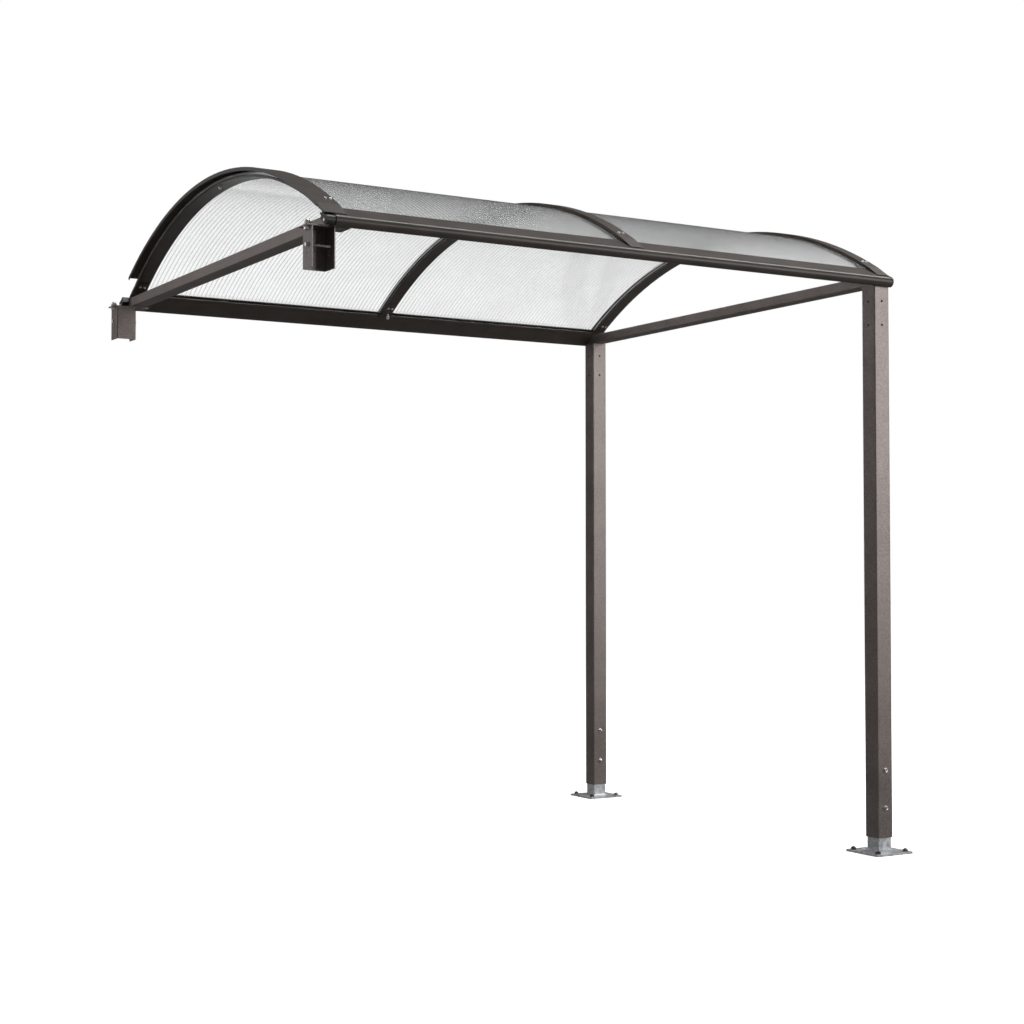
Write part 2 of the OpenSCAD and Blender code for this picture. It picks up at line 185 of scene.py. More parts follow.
class ShelterBolts(bpy.types.PropertyGroup):
    """Sizes of the bolts, nuts, washers and welds"""

    anchor_pitch: bpy.props.FloatProperty(
        name="Anchor pitch", description="Distance between two anchors along a foot plate's side",
        default=0.150, min=0.1, max=0.2, unit="LENGTH")
    anchor_size: bpy.props.FloatProperty(
        name="Anchor size", description="Thread diameter of the anchors",
        default=0.012, min=0.006, max=0.02, unit="LENGTH")
    post_bolt_size: bpy.props.FloatProperty(
        name="Post bolt size", description="Thread diameter of the bolts through the posts",
        default=0.010, min=0.006, max=0.02, unit="LENGTH")
    post_bolt_low: bpy.props.FloatProperty(
        name="Lower post bolt", description="Height of the lower post bolt above the ground",
        default=0.189, min=0.1, max=0.3, unit="LENGTH")
    post_bolt_high: bpy.props.FloatProperty(
        name="Upper post bolt", description="Height of the upper post bolt above the ground",
        default=0.345, min=0.2, max=0.5, unit="LENGTH")
    roof_bolt_size: bpy.props.FloatProperty(
        name="Roof bolt size", description="Thread diameter of the bolts through caps and ribs",
        default=0.006, min=0.004, max=0.01, unit="LENGTH")
    roof_bolt_pitch: bpy.props.FloatProperty(
        name="Roof bolt pitch", description="Distance between the two bolts of a pair",
        default=0.020, min=0.01, max=0.04, unit="LENGTH")
    rib_bolt_inset: bpy.props.FloatProperty(
        name="Rib bolt inset", description="Distance of the rib bolts from the eave",
        default=0.056, min=0.01, max=0.1, unit="LENGTH")
    channel_bolt_size: bpy.props.FloatProperty(
        name="Channel bolt size", description="Thread diameter of the bolts of the channels",
        default=0.010, min=0.006, max=0.02, unit="LENGTH")
    lug_bolt_size: bpy.props.FloatProperty(
        name="Lug bolt size", description="Thread diameter of the bolts on the channels' plates",
        default=0.014, min=0.006, max=0.02, unit="LENGTH")
    channel_bolt_drop: bpy.props.FloatProperty(
        name="Channel bolt drop", description="Distance of the bolt below the channel's top",
        default=0.063, min=0.03, max=0.1, unit="LENGTH")
    weld_size: bpy.props.FloatProperty(
        name="Weld size", description="Leg of the fillet weld round a foot stub",
        default=0.007, min=0.003, max=0.015, unit="LENGTH")


class ShelterStage(bpy.types.PropertyGroup):
    """Floor, lights and camera"""

    floor_radius: bpy.props.FloatProperty(
        name="Floor radius", description="Radius of the floor",
        default=60, min=5, max=200, unit="LENGTH")
    key_power: bpy.props.FloatProperty(
        name="Front light", description="Power of the large soft light in front",
        default=450, min=0, max=20000, unit="POWER")
    top_power: bpy.props.FloatProperty(
        name="Top light", description="Power of the narrow light overhead",
        default=600, min=0, max=20000, unit="POWER")
    left_power: bpy.props.FloatProperty(
        name="Left light", description="Power of the small light at the left end",
        default=14, min=0, max=20000, unit="POWER")
    camera_place: bpy.props.FloatVectorProperty(
        name="Camera place", description="Where the camera stands",
        default=(-5.066, -5.594, 1.162), size=3, subtype="TRANSLATION", unit="LENGTH")
    camera_turn: bpy.props.FloatProperty(
        name="Camera turn", description="Turn of the camera from the front towards the right",
        default=math.radians(30.43), subtype="ANGLE", unit="ROTATION")
    camera_tilt: bpy.props.FloatProperty(
        name="Camera tilt", description="Tilt of the camera above the horizon",
        default=math.radians(2.02), subtype="ANGLE", unit="ROTATION")
    camera_lens: bpy.props.FloatProperty(
        name="Camera lens", description="Focal length on a 36 mm sensor",
        default=61.78, min=20, max=200)


def finish_of(context):
    return context.scene.shelter_finish


def roof_of(context):
    return context.scene.shelter_roof


def bolts_of(context):
    return context.scene.shelter_bolts


# ---- Shader maths --------------------------------------------------------------------------------

class Wire:
    """An output of a shader node. Sums, products and powers of wires add Math nodes."""

    def __init__(self, tree, output=None):
        self.tree = tree
        self.output = output

    def node(self, kind, out=0, settings=None, **inputs):
        """Adds a node: its settings first, then the values or wires of its sockets."""
        made = self.tree.nodes.new(kind)
        for name, value in (settings or {}).items():
            setattr(made, name, value)
        for name, value in inputs.items():
            key = int(name[1:]) if name[0] == "_" else name.replace("_", " ")
            if isinstance(value, Wire):
                self.tree.links.new(value.output, made.inputs[key])
            else:
                made.inputs[key].default_value = value
        return Wire(self.tree, made.outputs[out])

    def maths(self, operation, first, second=0.0):
        return self.node("ShaderNodeMath", settings={"operation": operation}, _0=first, _1=second)

    def __add__(self, other):
        return self.maths("ADD", self, other)

    def __radd__(self, other):
        return self.maths("ADD", other, self)

    def __sub__(self, other):
        return self.maths("SUBTRACT", self, other)

    def __rsub__(self, other):
        return self.maths("SUBTRACT", other, self)

    def __mul__(self, other):
        return self.maths("MULTIPLY", self, other)

    def __rmul__(self, other):
        return self.maths("MULTIPLY", other, self)

    def mix(self, dark, light):
        """A colour between two colours, by this wire."""
        return self.node(
            "ShaderNodeMix", out=2, settings={"data_type": "RGBA"},
            _0=self, _6=(*dark, 1), _7=(*light, 1))

    def band(self, low, high):
        """0 below the low value, 1 above the high one, and smooth between them."""
        return self.node(
            "ShaderNodeMapRange", settings={"interpolation_type": "SMOOTHSTEP"},
            Value=self, From_Min=low, From_Max=high)


def shade(colour, factor):
    return tuple(min(1.0, part * factor) for part in colour)


def new_material(name):
    """A material with its principled shader and a wire to start from."""
    material = bpy.data.materials.new(name)
    material.use_nodes = True
    shader = material.node_tree.nodes["Principled BSDF"]
    return material, Wire(material.node_tree), shader


def noise(wire, place, scale, detail=2.0):
    return wire.node("ShaderNodeTexNoise", Vector=place, Scale=scale, Detail=detail)


def feed(wire, shader, socket):
    wire.tree.links.new(wire.output, shader.inputs[socket])


def bump(wire, shader, height, strength, distance):
    made = wire.node("ShaderNodeBump", Strength=strength, Distance=distance, Height=height)
    feed(made, shader, "Normal")


def textured_coat(context):
    """Fine-textured metallic brown powder coat."""
    finish = finish_of(context)
    material, wire, shader = new_material("textured_coat")
    place = wire.node("ShaderNodeTexCoord", out="Object")
    grain = noise(wire, place, 850.0)
    mottle = noise(wire, place, 210.0, 3.0)
    cloud = noise(wire, place, 5.0)
    tone = grain * 0.35 + mottle * 0.45 + cloud * 0.2
    colour = tone.band(0.36, 0.66).mix(
        shade(finish.paint_colour, 0.72), shade(finish.paint_colour, 1.34))
    feed(colour, shader, "Base Color")
    feed(grain * 0.22 + cloud * 0.08 + (finish.paint_roughness - 0.15), shader, "Roughness")
    shader.inputs["Metallic"].default_value = 0.7
    bump(wire, shader, grain + mottle * 0.5, 0.35, 0.0006)
    return material


def satin_coat(context):
    """Smooth dark brown powder coat with a soft gloss."""
    finish = finish_of(context)
    material, wire, shader = new_material("satin_coat")
    place = wire.node("ShaderNodeTexCoord", out="Object")
    grain = noise(wire, place, 900.0)
    cloud = noise(wire, place, 7.0, 3.0)
    colour = (grain * 0.5 + cloud * 0.5).band(0.3, 0.7).mix(
        shade(finish.satin_colour, 0.8), shade(finish.satin_colour, 1.25))
    feed(colour, shader, "Base Color")
    feed(grain * 0.1 + cloud * 0.1 + (finish.satin_roughness - 0.1), shader, "Roughness")
    shader.inputs["Specular IOR Level"].default_value = 0.3
    bump(wire, shader, grain, 0.15, 0.0003)
    return material


def galvanised(context):
    """Hot-dipped zinc with its crystal pattern and dull streaks."""
    finish = finish_of(context)
    material, wire, shader = new_material("galvanised_zinc")
    place = wire.node("ShaderNodeTexCoord", out="Object")
    crystal = wire.node("ShaderNodeTexVoronoi", out="Color", Vector=place, Scale=85.0)
    level = wire.node("ShaderNodeSeparateColor", out="Red", Color=crystal)
    streak = noise(wire, place, 22.0, 4.0)
    fine = noise(wire, place, 420.0)
    tone = level * 0.45 + streak * 0.4 + fine * 0.15
    colour = tone.band(0.2, 0.8).mix(
        shade(finish.zinc_colour, 0.78), shade(finish.zinc_colour, 1.25))
    feed(colour, shader, "Base Color")
    feed(level * 0.14 + streak * 0.18 + 0.28, shader, "Roughness")
    shader.inputs["Metallic"].default_value = 0.5
    bump(wire, shader, fine + level * 0.4, 0.25, 0.0005)
    return material


def plated_steel(name, steel):
    """Zinc-plated steel with fine scratches."""
    material, wire, shader = new_material(name)
    place = wire.node("ShaderNodeTexCoord", out="Object")
    fine = noise(wire, place, 1400.0, 3.0)
    dull = noise(wire, place, 160.0)
    colour = (fine * 0.5 + dull * 0.5).band(0.3, 0.7).mix(
        shade(steel, 0.8), shade(steel, 1.2))
    feed(colour, shader, "Base Color")
    feed(dull * 0.2 + fine * 0.1 + 0.14, shader, "Roughness")
    shader.inputs["Metallic"].default_value = 1.0
    bump(wire, shader, fine, 0.15, 0.0002)
    return material


def moulded_plastic(context, name, colour):
    """Plastic with a fine mould grain."""
    material, wire, shader = new_material(name)
    place = wire.node("ShaderNodeTexCoord", out="Object")
    grain = noise(wire, place, 1100.0, 3.0)
    cloud = noise(wire, place, 30.0)
    tone = grain * 0.6 + cloud * 0.4
    feed(tone.band(0.3, 0.7).mix(shade(colour, 0.75), shade(colour, 1.3)), shader, "Base Color")
    feed(grain * 0.2 + 0.36, shader, "Roughness")
    bump(wire, shader, grain, 0.3, 0.0003)
    return material


def seal_rubber(context):
    """Matt black rubber."""
    material, wire, shader = new_material("seal_rubber")
    colour = finish_of(context).rubber_colour
    place = wire.node("ShaderNodeTexCoord", out="Object")
    grain = noise(wire, place, 500.0, 3.0)
    feed(grain.band(0.3, 0.7).mix(shade(colour, 0.7), shade(colour, 1.6)), shader, "Base Color")
    feed(grain * 0.2 + 0.62, shader, "Roughness")
    bump(wire, shader, grain, 0.3, 0.0004)
    return material


def clear_sheet(context):
    """The skins of a twin-wall sheet: clear, slightly frosted, with faint dust."""
    material, wire, shader = new_material("twin_wall_skin")
    colour = finish_of(context).sheet_colour
    place = wire.node("ShaderNodeTexCoord", out="Object")
    haze = noise(wire, place, 4.0, 4.0)
    fine = noise(wire, place, 90.0, 2.0)
    tone = haze * 0.6 + fine * 0.4
    feed(tone.band(0.3, 0.7).mix(shade(colour, 0.97), shade(colour, 1.03)), shader, "Base Color")
    feed(haze * 0.06 + 0.06, shader, "Roughness")
    shader.inputs["Transmission Weight"].default_value = 1.0
    shader.inputs["IOR"].default_value = 1.5
    bump(wire, shader, haze, 0.05, 0.002)
    return material


def sheet_web(context):
    """The webs inside a sheet, milky where they catch the light."""
    material, wire, shader = new_material("twin_wall_web")
    colour = finish_of(context).web_colour
    place = wire.node("ShaderNodeTexCoord", out="Object")
    haze = noise(wire, place, 40.0, 3.0)
    feed(haze.band(0.3, 0.7).mix(shade(colour, 0.92), shade(colour, 1.08)), shader, "Base Color")
    feed(haze * 0.2 + 0.4, shader, "Roughness")
    return material


def material_named(context, name):
    """Makes a finish once and then hands out the same one."""
    if name in bpy.data.materials:
        return bpy.data.materials[name]
    finish = finish_of(context)
    makers = {
        "textured_coat": textured_coat,
        "satin_coat": satin_coat,
        "galvanised_zinc": galvanised,
        "bolt_steel": lambda c: plated_steel(name, finish.bolt_colour),
        # The anchors' steel is the bolt steel darkened: painted shade
        "anchor_steel_painted_shade": lambda c: plated_steel(name, finish.shaded_anchor_colour),
        "seal_rubber": seal_rubber,
        "twin_wall_skin": clear_sheet,
        "twin_wall_web": sheet_web,
        "insert_plastic": lambda c: moulded_plastic(c, name, finish.plastic_colour),
        "cap_plastic": lambda c: moulded_plastic(c, name, shade(finish.paint_colour, 0.3)),
    }
    return makers[name](context)


def dress(obj, material):
    """Gives an object this one material."""
    if not obj.material_slots:
        obj.data.materials.append(material)
    for slot in obj.material_slots:
        slot.material = material


# ---- Modelling -----------------------------------------------------------------------------------

def deselect():
    bpy.ops.object.select_all(action="DESELECT")


def pick(*objects):
    """Selects these objects alone and makes the first one active."""
    deselect()
    for obj in objects:
        obj.select_set(True)
    bpy.context.view_layer.objects.active = objects[0]


def select_faces(obj, test):
    """In edit mode, selects the faces whose centre and normal pass the test."""
    bpy.ops.mesh.select_all(action="DESELECT")
    bpy.ops.mesh.select_mode(type="FACE")
    mesh = bmesh.from_edit_mesh(obj.data)
    for face in mesh.faces:
        if test(face.calc_center_median(), face.normal):
            face.select_set(True)
    bmesh.update_edit_mesh(obj.data)


def put(obj, matrix):
    """Moves a finished piece by a matrix and leaves the move in its mesh."""
    pick(obj)
    obj.matrix_world = matrix @ obj.matrix_world
    bpy.ops.object.transform_apply(location=True, rotation=True, scale=True)
    return obj


def copies_of(pattern, places):
    """Copies of a pattern, each with its own mesh, moved by these matrices. The pattern goes."""
    copies = []
    for place in places:
        twin = pattern.copy()
        twin.data = pattern.data.copy()
        bpy.context.scene.collection.objects.link(twin)
        copies.append(put(twin, place))
    bpy.data.objects.remove(pattern)
    return copies


def join(name, parts):
    """Joins parts into one piece with this name."""
    pick(*parts)
    if len(parts) > 1:
        bpy.ops.object.join()
    made = bpy.context.view_layer.objects.active
    bpy.ops.object.transform_apply(location=True, rotation=True, scale=True)
    made.name = name
    made.data.name = name
    return made


def finish_piece(obj, material):
    """Smooths a piece, gives it its finish and fixes it to the frame."""
    pick(obj)
    bpy.ops.object.shade_smooth_by_angle(angle=SMOOTH_ANGLE)
    dress(obj, material)
    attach(obj, "root")


def drum(radius, depth, low, sides=32, round_over=0.0, segments=1):
    """A disc or prism standing on a height, with its upper rim rounded over."""
    deselect()
    bpy.ops.mesh.primitive_cylinder_add(
        vertices=sides, radius=radius, depth=depth, location=(0, 0, low + depth / 2))
    obj = bpy.context.active_object
    bpy.ops.object.transform_apply(location=True, rotation=True, scale=True)
    if round_over > 0:
        bpy.ops.object.mode_set(mode="EDIT")
        select_faces(obj, lambda centre, normal: normal.z > 0.9)
        bpy.ops.mesh.bevel(offset=round_over, segments=segments, profile=0.5, affect="EDGES")
        bpy.ops.object.mode_set(mode="OBJECT")
    return obj


def washer(size, low=0.0):
    """A plain washer for this thread."""
    return drum(size * WASHER_RADIUS, size * WASHER_HEIGHT, low, 32, size * 0.05)


def hex_head(size, low):
    """A hexagon head with a round chamfered face."""
    radius = size * HEX_WIDTH / math.sqrt(3)
    obj = drum(radius, size * HEX_HEIGHT, low, 6, size * 0.11, 2)
    bpy.ops.object.mode_set(mode="EDIT")
    select_faces(obj, lambda centre, normal: normal.z > 0.99)
    bpy.ops.mesh.inset(thickness=size * 0.12, depth=-size * 0.03)
    bpy.ops.object.mode_set(mode="OBJECT")
    return obj


def dome_head(size, low):
    """A low round head."""
    return drum(size * 0.92, size * 0.55, low, 32, size * 0.42, 5)


def cap_nut(size, low):
    """A hexagon nut closed by a dome."""
    nut = drum(size * HEX_WIDTH / math.sqrt(3), size * 0.6, low, 6, size * 0.1, 2)
    dome = drum(size * 0.72, size * 0.75, low + size * 0.5, 24, size * 0.6, 5)
    return join("cap_nut", [nut, dome])


def thread(size, low, high):
    """A threaded rod between two heights, from one groove repeated along it."""
    pitch = size * THREAD_PITCH
    deselect()
    bpy.ops.mesh.primitive_cylinder_add(
        vertices=16, radius=size / 2, depth=pitch, end_fill_type="NOTHING",
        location=(0, 0, low + pitch / 2))
    obj = bpy.context.active_object
    bpy.ops.object.transform_apply(location=True, rotation=True, scale=True)
    bpy.ops.object.mode_set(mode="EDIT")
    bpy.ops.mesh.select_all(action="SELECT")
    bpy.ops.mesh.bisect(plane_co=(0, 0, low + pitch / 2), plane_no=(0, 0, 1))
    bpy.ops.transform.resize(value=(GROOVE_WIDTH, GROOVE_WIDTH, 1))
    bpy.ops.object.mode_set(mode="OBJECT")
    array = obj.modifiers.new("turns", "ARRAY")
    array.use_relative_offset = False
    array.use_constant_offset = True
    array.constant_offset_displace = (0, 0, pitch)
    array.count = max(2, round((high - low) / pitch))
    array.use_merge_vertices = True
    array.merge_threshold = pitch * 0.1
    bpy.ops.object.modifier_apply(modifier=array.name)
    bpy.ops.object.mode_set(mode="EDIT")
    bpy.ops.mesh.select_all(action="DESELECT")
    bpy.ops.mesh.select_mode(type="EDGE")
    bpy.ops.mesh.select_non_manifold()
    bpy.ops.mesh.edge_face_add()
    bpy.ops.mesh.select_all(action="SELECT")
    bpy.ops.mesh.normals_make_consistent(inside=False)
    bpy.ops.object.mode_set(mode="OBJECT")
    return obj


def pointing(point, axis):
    """Places a bolt that stands on Z at a point, with its head along this axis."""
    return Matrix.Translation(point) @ Vector(axis).to_track_quat("Z", "Y").to_matrix().to_4x4()


def through_bolt(size, grip, near, far):
    """A bolt that stands on Z: its near head at height 0, its far end below what it holds."""
    seat = size * WASHER_HEIGHT
    head = join("head", [washer(size), near(size, seat)])
    nut = join("nut", [washer(size), far(size, seat)])
    put(nut, Matrix.Translation((0, 0, -grip)) @ TURNED_OVER)
    return join("bolt", [head, nut, thread(size, -grip, 0)])


# ---- Places on the roof --------------------------------------------------------------------------

class Vault:
    """The arch of the roof: its axis runs along X through the middle of the span."""

    def __init__(self, context):
        roof = roof_of(context)
        low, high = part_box("middle_rib")
        self.radius = roof.arch_radius
        self.middle = (low.y + high.y) / 2
        self.height = high.z - roof.arch_radius - roof.rib_thickness
        self.eave = math.asin((self.middle - roof.eave_inset) / self.radius)

    def angle(self, inset, side):
        """The turn from the crown to a place this far up the arch from an eave."""
        return side * (self.eave - inset / self.radius)

    def stand(self, x, inset, side, radius):
        """A frame on the arch whose Z points outwards."""
        turn = self.angle(inset, side)
        point = (x, self.middle - radius * math.sin(turn), self.height + radius * math.cos(turn))
        return Matrix.Translation(point) @ Matrix.Rotation(turn, 4, "X")

    def profile(self, x, u, v, side):
        """A point given in the edge beam's own directions, down and out, and square to them."""
        turn = self.eave
        y = -self.radius * math.sin(turn) - u * math.cos(turn) - v * math.sin(turn)
        z = self.radius * math.cos(turn) - u * math.sin(turn) + v * math.cos(turn)
        return Vector((x, self.middle + side * y, self.height + z))


def middle_of(node, axis):
    low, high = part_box(node)
    return (low[axis] + high[axis]) / 2


# ---- Roof sheets ---------------------------------------------------------------------------------

def bent_bar(vault, steps, sweep, x0, x1, r0, r1):
    """A bar with a rectangular section, bent along the arch and closed at both ends."""
    deselect()
    bpy.ops.mesh.primitive_plane_add(size=1, location=(0, 0, 0))
    obj = bpy.context.active_object
    obj.scale = (x1 - x0, r1 - r0, 1)
    obj.rotation_euler = (math.pi / 2, 0, 0)
    obj.location = ((x0 + x1) / 2, vault.middle, vault.height + (r0 + r1) / 2)
    bpy.ops.object.transform_apply(location=True, rotation=True, scale=True)
    obj.rotation_euler = (0, 0, 0)
    put(obj, Matrix.Translation((0, vault.middle, vault.height))
        @ Matrix.Rotation(sweep / 2, 4, "X")
        @ Matrix.Translation((0, -vault.middle, -vault.height)))
    bpy.ops.object.mode_set(mode="EDIT")
    bpy.ops.mesh.select_all(action="SELECT")
    bpy.ops.mesh.spin(
        steps=steps, angle=sweep, center=(0, vault.middle, vault.height), axis=(1, 0, 0))
    bpy.ops.mesh.select_all(action="SELECT")
    bpy.ops.mesh.remove_doubles(threshold=1e-6)
    bpy.ops.mesh.select_all(action="DESELECT")
    bpy.ops.mesh.select_mode(type="EDGE")
    bpy.ops.mesh.select_non_manifold()
    bpy.ops.mesh.edge_face_add()
    bpy.ops.mesh.select_all(action="SELECT")
    bpy.ops.mesh.normals_make_consistent(inside=False)
    bpy.ops.object.mode_set(mode="OBJECT")
    return obj


def roof_sheet(context, vault, side_name):
    """One curved twin-wall sheet: a clear body, and the webs inside it from slot to slot."""
    roof = roof_of(context)
    node = side_name + "_panel"
    low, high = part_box(node)
    outer = high.z - vault.height
    inner = outer - roof.sheet_thickness
    sweep = 2 * (vault.eave + roof.sheet_held / vault.radius)
    body = bent_bar(vault, roof.arc_steps, sweep, low.x, high.x, inner, outer)
    body.name = side_name + "_sheet"
    finish_piece(body, material_named(context, "twin_wall_skin"))
    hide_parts(node)

    count = math.floor((high.x - low.x) / roof.flute_pitch) - 1
    start = (low.x + high.x - (count - 1) * roof.flute_pitch) / 2
    webs = bent_bar(
        vault, roof.arc_steps // 2, 2 * vault.eave,
        start - roof.web_thickness / 2, start + roof.web_thickness / 2,
        inner + roof.skin_thickness, outer - roof.skin_thickness)
    pick(webs)
    array = webs.modifiers.new("webs", "ARRAY")
    array.use_relative_offset = False
    array.use_constant_offset = True
    array.constant_offset_displace = (roof.flute_pitch, 0, 0)
    array.count = count
    bpy.ops.object.modifier_apply(modifier=array.name)
    webs.name = side_name + "_sheet_webs"
    finish_piece(webs, material_named(context, "twin_wall_web"))


class SHELTER_OT_roof_sheets(bpy.types.Operator):
    """Models the curved twin-wall roof sheets"""

    bl_idname = "shelter.roof_sheets"
    bl_label = "Roof sheets"

    def execute(self, context):
        vault = Vault(context)
        for side_name in ("left", "right"):
            roof_sheet(context, vault, side_name)
        return {"FINISHED"}


# ---- Finishes of the frame -----------------------------------------------------------------------

class SHELTER_OT_paint(bpy.types.Operator):
    """Gives the painted steel and aluminium its powder coat"""

    bl_idname = "shelter.paint"
    bl_label = "Powder coat"

    def execute(self, context):
        for name in TEXTURED:
            dress(NODES[name], material_named(context, "textured_coat"))
        for name in SATIN:
            dress(NODES[name], material_named(context, "satin_coat"))
        return {"FINISHED"}


class SHELTER_OT_zinc(bpy.types.Operator):
    """Gives the feet their galvanised finish"""

    bl_idname = "shelter.zinc"
    bl_label = "Galvanised feet"

    def execute(self, context):
        for name in ZINCED:
            dress(NODES[name], material_named(context, "galvanised_zinc"))
        return {"FINISHED"}


class SHELTER_OT_plastics(bpy.types.Operator):
    """Gives the end caps, splice inserts and seals their plastic and rubber"""

    bl_idname = "shelter.plastics"
    bl_label = "Plastic and rubber"

    def execute(self, context):
        for name in END_CAPS:
            dress(NODES[name], material_named(context, "cap_plastic"))
        for name in INSERTS:
            dress(NODES[name], material_named(context, "insert_plastic"))
        for name in SEALS:
            dress(NODES[name], material_named(context, "seal_rubber"))
        return {"FINISHED"}


# ---- Bolts and welds -----------------------------------------------------------------------------

class SHELTER_OT_anchors(bpy.types.Operator):
    """Models the four anchors in each foot plate"""

    bl_idname = "shelter.anchors"
    bl_label = "Foot anchors"

    def execute(self, context):
        bolts = bolts_of(context)
        size = bolts.anchor_size
        for place in SIDES:
            low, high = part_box(place + "_foot_plate")
            centre = (low + high) / 2
            pattern = join("anchor", [
                washer(size, high.z),
                hex_head(size, high.z + size * WASHER_HEIGHT),
                thread(size, low.z + 0.002, high.z + size * 1.1),
            ])
            spots = []
            for sx in (-1, 1):
                for sy in (-1, 1):
                    # Each anchor is tightened to its own angle
                    turn = Matrix.Rotation(0.4 * sx + 0.9 * sy, 4, "Z")
                    corner = Vector((sx, sy, 0)) * bolts.anchor_pitch / 2
                    spot = Vector((centre.x, centre.y, 0)) + corner
                    spots.append(Matrix.Translation(spot) @ turn)
            made = join(place + "_anchors", copies_of(pattern, spots))
            # The anchor heads carry painted shade through their darkened steel
            finish_piece(made, material_named(context, "anchor_steel_painted_shade"))
        return {"FINISHED"}


class SHELTER_OT_post_bolts(bpy.types.Operator):
    """Models the bolts that hold each post on its stub"""

    bl_idname = "shelter.post_bolts"
    bl_label = "Post bolts"

    def execute(self, context):
        bolts = bolts_of(context)
        for place, side in SIDES.items():
            low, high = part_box(place + "_post")
            centre = (low + high) / 2
            outside = low.y if side > 0 else high.y
            pattern = through_bolt(bolts.post_bolt_size, high.y - low.y, hex_head, cap_nut)
            piece = join(place + "_post_bolts", copies_of(pattern, [
                pointing((centre.x, outside, height), (0, -side, 0))
                for height in (bolts.post_bolt_low, bolts.post_bolt_high)
            ]))
            finish_piece(piece, material_named(context, "bolt_steel"))
        return {"FINISHED"}


class SHELTER_OT_foot_welds(bpy.types.Operator):
    """Models the fillet weld between each stub and its foot plate"""

    bl_idname = "shelter.foot_welds"
    bl_label = "Foot welds"

    def execute(self, context):
        weld = bolts_of(context).weld_size
        low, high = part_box("front_foot_stub")
        width = high.x - low.x
        deselect()
        bpy.ops.mesh.primitive_cube_add(size=1, location=(0, 0, weld / 2))
        pattern = bpy.context.active_object
        pattern.scale = (width + 0.001, width + 0.001, weld)
        bpy.ops.object.transform_apply(location=True, rotation=True, scale=True)
        bpy.ops.object.mode_set(mode="EDIT")
        select_faces(pattern, lambda centre, normal: normal.z < -0.9)
        flare = (width + 2 * weld) / width
        bpy.ops.transform.resize(value=(flare, flare, 1))
        bpy.ops.mesh.select_all(action="SELECT")
        bpy.ops.mesh.bevel(offset=weld / 2, segments=4, profile=0.5, affect="EDGES")
        bpy.ops.object.mode_set(mode="OBJECT")
        welds = copies_of(pattern, [
            Matrix.Translation(
                (middle_of(place + "_foot_stub", 0), middle_of(place + "_foot_stub", 1), low.z))
            for place in SIDES
        ])
        for place, obj in zip(SIDES, welds):
            obj.name = place + "_foot_weld"
            finish_piece(obj, material_named(context, "galvanised_zinc"))
        return {"FINISHED"}


class SHELTER_OT_roof_bolts(bpy.types.Operator):
    """Models the pairs of bolts through caps, sheets, ribs and rib brackets"""

    bl_idname = "shelter.roof_bolts"
    bl_label = "Roof bolts"

    def execute(self, context):
        vault = Vault(context)
        bolts = bolts_of(context)
        cap_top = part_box("middle_cap")[1].z - vault.height
        sheet_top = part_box("left_panel")[1].z - vault.height
        under_bracket = vault.radius - roof_of(context).bracket_thickness
        # The left cap stops short of its back bolts, so their heads lie on the sheet
        tops = {
            "left": {"front": cap_top, "back": sheet_top},
            "middle": {"front": cap_top, "back": cap_top},
            "right": {"front": cap_top, "back": cap_top},
        }
        for rib, ends in tops.items():
            x = middle_of(rib + "_rib", 0)
            made = []
            for place, top in ends.items():
                pattern = through_bolt(
                    bolts.roof_bolt_size, top - under_bracket, dome_head, dome_head)
                made += copies_of(pattern, [
                    vault.stand(
                        x + step * bolts.roof_bolt_pitch, bolts.rib_bolt_inset, SIDES[place], top)
                    for step in (-0.5, 0.5)
                ])
            piece = join(rib + "_roof_bolts", made)
            finish_piece(piece, material_named(context, "bolt_steel"))
        return {"FINISHED"}


class SHELTER_OT_channel_bolts(bpy.types.Operator):
    """Models the bolt across each channel and the one on its top plate"""

    bl_idname = "shelter.channel_bolts"
    bl_label = "Channel bolts"

    def execute(self, context):
        bolts = bolts_of(context)
        size = bolts.channel_bolt_size
        lug_size = bolts.lug_bolt_size
        for place in SIDES:
            low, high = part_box(place + "_channel")
            post_y = middle_of(place + "_post", 1)
            cross = through_bolt(size, high.x - low.x, hex_head, cap_nut)
            put(cross, pointing(
                (low.x, post_y, high.z - bolts.channel_bolt_drop), (-1, 0, 0)))
            plate_low, plate_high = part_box(place + "_channel_plate")
            lug = through_bolt(lug_size, plate_high.z - plate_low.z, cap_nut, hex_head)
            # The washer's rim stays inside the plate's left edge
            put(lug, pointing(
                (plate_low.x + lug_size * 1.1, post_y, plate_high.z), (0, 0, 1)))
            piece = join(place + "_channel_bolts", [cross, lug])
            finish_piece(piece, material_named(context, "bolt_steel"))
        return {"FINISHED"}


